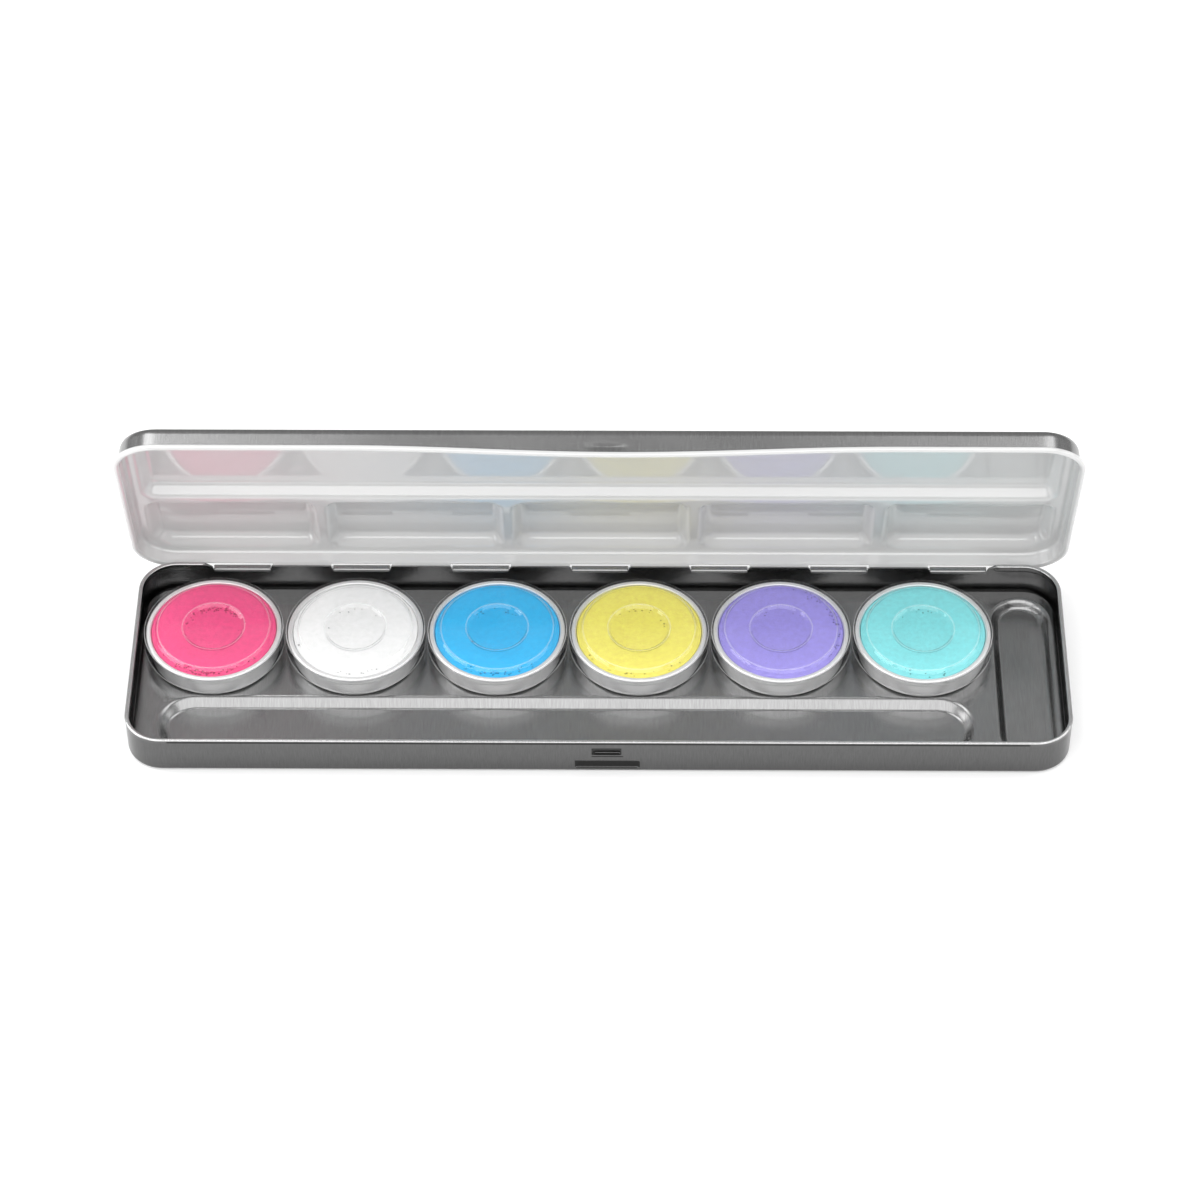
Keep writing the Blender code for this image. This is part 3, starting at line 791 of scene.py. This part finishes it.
def build_pans(aluminium, clears, paints, grains, shift_y):
    """Six cups with their cakes of colour and clear caps."""
    generator = np.random.default_rng(11)
    cup_line = smooth_profile(cup_profile(), 0.22)
    cap_line = smooth_profile(cap_profile(), 0.20)
    for index, colour in enumerate(PAINTS):
        centre = (PAN_FIRST_X + index * PAN_PITCH, PAN_Y)
        points, faces = turned(cup_line, TURN_STEPS, centre)
        add_mesh(f"pressed_cup_{colour}", place(points, shift_y), faces, [aluminium], f"pan_{colour}",
                 [f"pan_cup_{colour}"])
        points, faces = paint_mesh(centre, colour, generator)
        add_mesh(f"cake_{colour}", place(points, shift_y), faces, [paints[colour]], f"pan_{colour}",
                 [f"paint_{colour}"])
        points, faces = join_parts(crumbs(centre, colour, generator))
        add_mesh(f"crumbs_{colour}", place(points, shift_y), faces, [grains[colour]], f"pan_{colour}")
        points, faces = turned(cap_line, TURN_STEPS, centre)
        add_mesh(f"cap_{colour}", place(points, shift_y), faces, clears, f"cover_{colour}",
                 [f"clear_cap_{colour}"], cap_edges(points, faces, centre))


# ---------------------------------------------------------------- materials

def start_material(name):
    """New node material and its Principled shader."""
    made = bpy.data.materials.new(name)
    made.use_nodes = True
    return made, made.node_tree.nodes["Principled BSDF"]


def noise(tree, scale, stretch=(1.0, 1.0, 1.0), detail=4.0, roughness=0.55):
    """Noise in object space; scale is in waves per metre."""
    where = tree.nodes.new("ShaderNodeTexCoord")
    mapping = tree.nodes.new("ShaderNodeMapping")
    mapping.inputs["Scale"].default_value = stretch
    texture = tree.nodes.new("ShaderNodeTexNoise")
    texture.inputs["Scale"].default_value = scale
    texture.inputs["Detail"].default_value = detail
    texture.inputs["Roughness"].default_value = roughness
    tree.links.new(where.outputs["Object"], mapping.inputs["Vector"])
    tree.links.new(mapping.outputs["Vector"], texture.inputs["Vector"])
    return texture.outputs["Fac"]


def ranged(tree, value, low, high, from_low=0.3, from_high=0.7):
    """Value spread over another range."""
    node = tree.nodes.new("ShaderNodeMapRange")
    node.inputs["From Min"].default_value = from_low
    node.inputs["From Max"].default_value = from_high
    node.inputs["To Min"].default_value = low
    node.inputs["To Max"].default_value = high
    tree.links.new(value, node.inputs["Value"])
    return node.outputs["Result"]


def ramp(tree, value, stops):
    """Colour ramp over a value; stops are (place, colour)."""
    node = tree.nodes.new("ShaderNodeValToRGB")
    elements = node.color_ramp.elements
    while len(elements) < len(stops):
        elements.new(0.5)
    for element, (position, colour) in zip(elements, stops):
        element.position = position
        element.color = (*colour, 1.0)
    tree.links.new(value, node.inputs["Fac"])
    return node.outputs["Color"]


def bump(tree, shader, height, distance, strength=1.0):
    """Bump from a height value, with its depth in metres."""
    node = tree.nodes.new("ShaderNodeBump")
    node.inputs["Distance"].default_value = distance
    node.inputs["Strength"].default_value = strength
    tree.links.new(height, node.inputs["Height"])
    tree.links.new(node.outputs["Normal"], shader.inputs["Normal"])


def tinplate(name, tone):
    """Satin grey tinplate with fine rolled grain running front to back."""
    made, shader = start_material(name)
    tree = made.node_tree
    grain = noise(tree, 1.0, (5200.0, 260.0, 420.0), 3.0)
    cloud = noise(tree, 55.0, detail=3.0)
    tree.links.new(ramp(tree, grain, [(0.3, (tone * 0.90,) * 3), (0.7, (tone * 1.10,) * 3)]),
                   shader.inputs["Base Color"])
    tree.links.new(ranged(tree, cloud, 0.20, 0.27), shader.inputs["Roughness"])
    shader.inputs["Metallic"].default_value = 1.0
    bump(tree, shader, grain, 0.000008, 0.40)
    return made


def enamel_look():
    """Glossy white enamel, very slightly uneven."""
    made, shader = start_material("white_enamel_look")
    tree = made.node_tree
    cloud = noise(tree, 40.0, detail=2.0)
    peel = noise(tree, 900.0, detail=2.0)
    tree.links.new(ramp(tree, cloud, [(0.3, (0.63, 0.63, 0.63)), (0.7, (0.65, 0.65, 0.645))]),
                   shader.inputs["Base Color"])
    tree.links.new(ranged(tree, cloud, 0.05, 0.075), shader.inputs["Roughness"])
    shader.inputs["IOR"].default_value = 2.02
    bump(tree, shader, peel, 0.000012, 0.25)
    return made


def aluminium_look():
    """Bright pressed aluminium."""
    made, shader = start_material("aluminium_look")
    tree = made.node_tree
    cloud = noise(tree, 120.0, (1.0, 1.0, 8.0), 2.0)
    tree.links.new(ramp(tree, cloud, [(0.3, (0.92, 0.92, 0.92)), (0.7, (0.96, 0.96, 0.96))]),
                   shader.inputs["Base Color"])
    tree.links.new(ranged(tree, cloud, 0.36, 0.42), shader.inputs["Roughness"])
    shader.inputs["Metallic"].default_value = 0.72
    return made


def wire_look():
    """Drawn steel wire."""
    made, shader = start_material("wire_look")
    tree = made.node_tree
    cloud = noise(tree, 900.0, (0.2, 1.0, 1.0), 2.0)
    tree.links.new(ramp(tree, cloud, [(0.3, (0.45, 0.45, 0.45)), (0.7, (0.58, 0.58, 0.58))]),
                   shader.inputs["Base Color"])
    shader.inputs["Metallic"].default_value = 1.0
    shader.inputs["Roughness"].default_value = 0.3
    return made


def clear_look(name, highlight_share=0.0):
    """Thin clear plastic: mostly see-through, with a glossy skin. The last argument is the share of flat
    white diffuse mixed in, a painted highlight on the cap's edges and rim.
    """
    made = bpy.data.materials.new(name)
    made.use_nodes = True
    tree = made.node_tree
    tree.nodes.remove(tree.nodes["Principled BSDF"])
    through = tree.nodes.new("ShaderNodeBsdfTransparent")
    weight = tree.nodes.new("ShaderNodeLayerWeight")
    weight.inputs["Blend"].default_value = 0.35
    tone = ramp(tree, weight.outputs["Facing"], [(0.4, (1.0, 1.0, 1.0)), (1.0, (0.38, 0.40, 0.42))])
    tree.links.new(tone, through.inputs["Color"])
    gloss = tree.nodes.new("ShaderNodeBsdfGlossy")
    gloss.inputs["Roughness"].default_value = 0.035
    fresnel = tree.nodes.new("ShaderNodeFresnel")
    fresnel.inputs["IOR"].default_value = 1.5
    outside = tree.nodes.new("ShaderNodeNewGeometry")
    front_only = tree.nodes.new("ShaderNodeMath")
    front_only.operation = "MULTIPLY_ADD"
    front_only.inputs[1].default_value = -SKIN_GAIN
    front_only.inputs[2].default_value = SKIN_GAIN
    share = tree.nodes.new("ShaderNodeMath")
    share.operation = "MULTIPLY"
    share.use_clamp = True
    mix = tree.nodes.new("ShaderNodeMixShader")
    tree.links.new(outside.outputs["Backfacing"], front_only.inputs[0])
    tree.links.new(fresnel.outputs["Fac"], share.inputs[0])
    tree.links.new(front_only.outputs["Value"], share.inputs[1])
    tree.links.new(share.outputs["Value"], mix.inputs["Fac"])
    tree.links.new(through.outputs["BSDF"], mix.inputs[1])
    tree.links.new(gloss.outputs["BSDF"], mix.inputs[2])
    # Painted highlight: flat white diffuse, bright under any light, stands in for the shine along the cap's
    # edges and rim.
    painted_highlight = tree.nodes.new("ShaderNodeBsdfDiffuse")
    painted_highlight.inputs["Color"].default_value = (0.95, 0.95, 0.95, 1.0)
    highlighted = tree.nodes.new("ShaderNodeMixShader")
    highlighted.inputs["Fac"].default_value = highlight_share
    tree.links.new(mix.outputs["Shader"], highlighted.inputs[1])
    tree.links.new(painted_highlight.outputs["BSDF"], highlighted.inputs[2])
    tree.links.new(highlighted.outputs["Shader"], tree.nodes["Material Output"].inputs["Surface"])
    return made


def paint_look(name, colour):
    """Dry pressed colour with a fine grain and slightly mottled tone."""
    made, shader = start_material(name)
    tree = made.node_tree
    cloud = noise(tree, 850.0, detail=6.0, roughness=0.75)
    grain = noise(tree, 1500.0, detail=4.0)
    dark = tuple(part * 0.88 for part in colour)
    light = tuple(min(part * 1.08, 1.0) for part in colour)
    tree.links.new(ramp(tree, cloud, [(0.3, dark), (0.7, light)]), shader.inputs["Base Color"])
    tree.links.new(ranged(tree, grain, 0.50, 0.68), shader.inputs["Roughness"])
    bump(tree, shader, grain, 0.00012, 0.7)
    return made


def floor_look():
    """Plain white paper."""
    made, shader = start_material("floor_look")
    shader.inputs["Base Color"].default_value = (0.95, 0.95, 0.95, 1.0)
    shader.inputs["Emission Color"].default_value = (1.0, 1.0, 1.0, 1.0)
    shader.inputs["Emission Strength"].default_value = 0.12
    shader.inputs["Roughness"].default_value = 0.9
    shader.inputs["Specular IOR Level"].default_value = 0.1
    return made


# ---------------------------------------------------------------- studio

def add_light(name, position, target, size, power):
    """Rectangular softbox aimed at a point; lengths in metres."""
    light = bpy.data.lights.new(name, "AREA")
    light.shape = "RECTANGLE"
    light.size = size[0]
    light.size_y = size[1]
    light.energy = power
    holder = bpy.data.objects.new(name, light)
    holder.location = position
    aim = Vector(target) - Vector(position)
    holder.rotation_euler = aim.to_track_quat("-Z", "Y").to_euler()
    bpy.context.scene.collection.objects.link(holder)


def build_studio():
    """White floor, pale surroundings and soft lights."""
    mesh = bpy.data.meshes.new("floor")
    half = 4.0
    level = -0.0002
    mesh.from_pydata([(-half, -half, level), (half, -half, level), (half, half, level), (-half, half, level)],
                     [], [(0, 1, 2, 3)])
    mesh.materials.append(floor_look())
    floor = bpy.data.objects.new("floor", mesh)
    bpy.context.scene.collection.objects.link(floor)
    world = bpy.data.worlds.new("pale_room")
    bpy.context.scene.world = world
    world.use_nodes = True
    world.node_tree.nodes["Background"].inputs["Color"].default_value = (1.0, 1.0, 1.0, 1.0)
    world.node_tree.nodes["Background"].inputs["Strength"].default_value = 0.50
    middle = (0.0, 0.0, 0.0)
    add_light("front_softbox", (0.0, -0.60, 0.80), middle, (1.5, 0.70), 5.8)
    add_light("left_softbox", (-0.85, -0.10, 0.36), middle, (0.90, 0.50), 4.2)
    add_light("right_softbox", (0.85, -0.10, 0.36), middle, (0.90, 0.50), 2.0)
    add_light("rear_left_softbox", (-0.42, 0.22, 0.92), middle, (0.42, 0.60), 2.6)
    add_light("rear_right_softbox", (0.42, 0.22, 0.92), middle, (0.42, 0.60), 1.8)
    bpy.context.scene.view_settings.view_transform = "Standard"


def build_camera(shift_y):
    """Long lens, looking down at the open tin from the front."""
    pitch = math.radians(CAMERA_PITCH)
    level = math.cos(pitch)
    ahead = Vector((math.sin(CAMERA_YAW) * level, math.cos(CAMERA_YAW) * level, -math.sin(pitch)))
    right = ahead.cross(Vector((0.0, 0.0, 1.0))).normalized()
    up = right.cross(ahead)
    tilted_right = right * math.cos(CAMERA_ROLL) + up * math.sin(CAMERA_ROLL)
    tilted_up = up * math.cos(CAMERA_ROLL) - right * math.sin(CAMERA_ROLL)
    camera = bpy.data.cameras.new("camera")
    camera.sensor_width = 36.0
    camera.lens = CAMERA_LENS
    camera.clip_start = 0.05
    holder = bpy.data.objects.new("camera", camera)
    turn = Matrix((tilted_right, tilted_up, -ahead)).transposed().to_4x4()
    place_x, place_y, place_z = CAMERA_PLACE
    position = Vector((place_x, place_y + shift_y, place_z)) * MM
    holder.matrix_world = Matrix.Translation(position) @ turn
    bpy.context.scene.collection.objects.link(holder)
    bpy.context.scene.camera = holder


def main():
    """Build every piece with its looks, then the studio and the camera."""
    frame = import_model()
    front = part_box("tray_base")[0]
    shift_y = front.y / MM + TRAY_Y / 2
    tins = {name: tinplate(f"tinplate_{name}_look", tone) for name, tone in TIN_TONES.items()}
    enamel = enamel_look()
    build_tray([tins[name] for name in TRAY_SURFACES], shift_y)
    build_lid(tins["lid"], enamel, shift_y)
    build_hinge(tins["inside"], enamel, shift_y)
    paints = {}
    grains = {}
    for name, colour in PAINTS.items():
        paints[name] = paint_look(f"paint_{name}_look", colour)
        grains[name] = paint_look(f"crumb_{name}_look", [part * CRUMB_TONE for part in colour])
    # The edge and rim plastics carry a painted highlight of flat white.
    clears = [clear_look("clear_plastic_look"), clear_look("clear_edge_highlight_look", CAP_EDGE_HIGHLIGHT),
              clear_look("clear_rim_highlight_look", CAP_RIM_HIGHLIGHT)]
    build_pans(aluminium_look(), clears, paints, grains, shift_y)
    wire = frame["nodes"]["hinge_wire"]
    wire.data.materials.clear()
    wire.data.materials.append(wire_look())
    build_studio()
    build_camera(shift_y)


main()
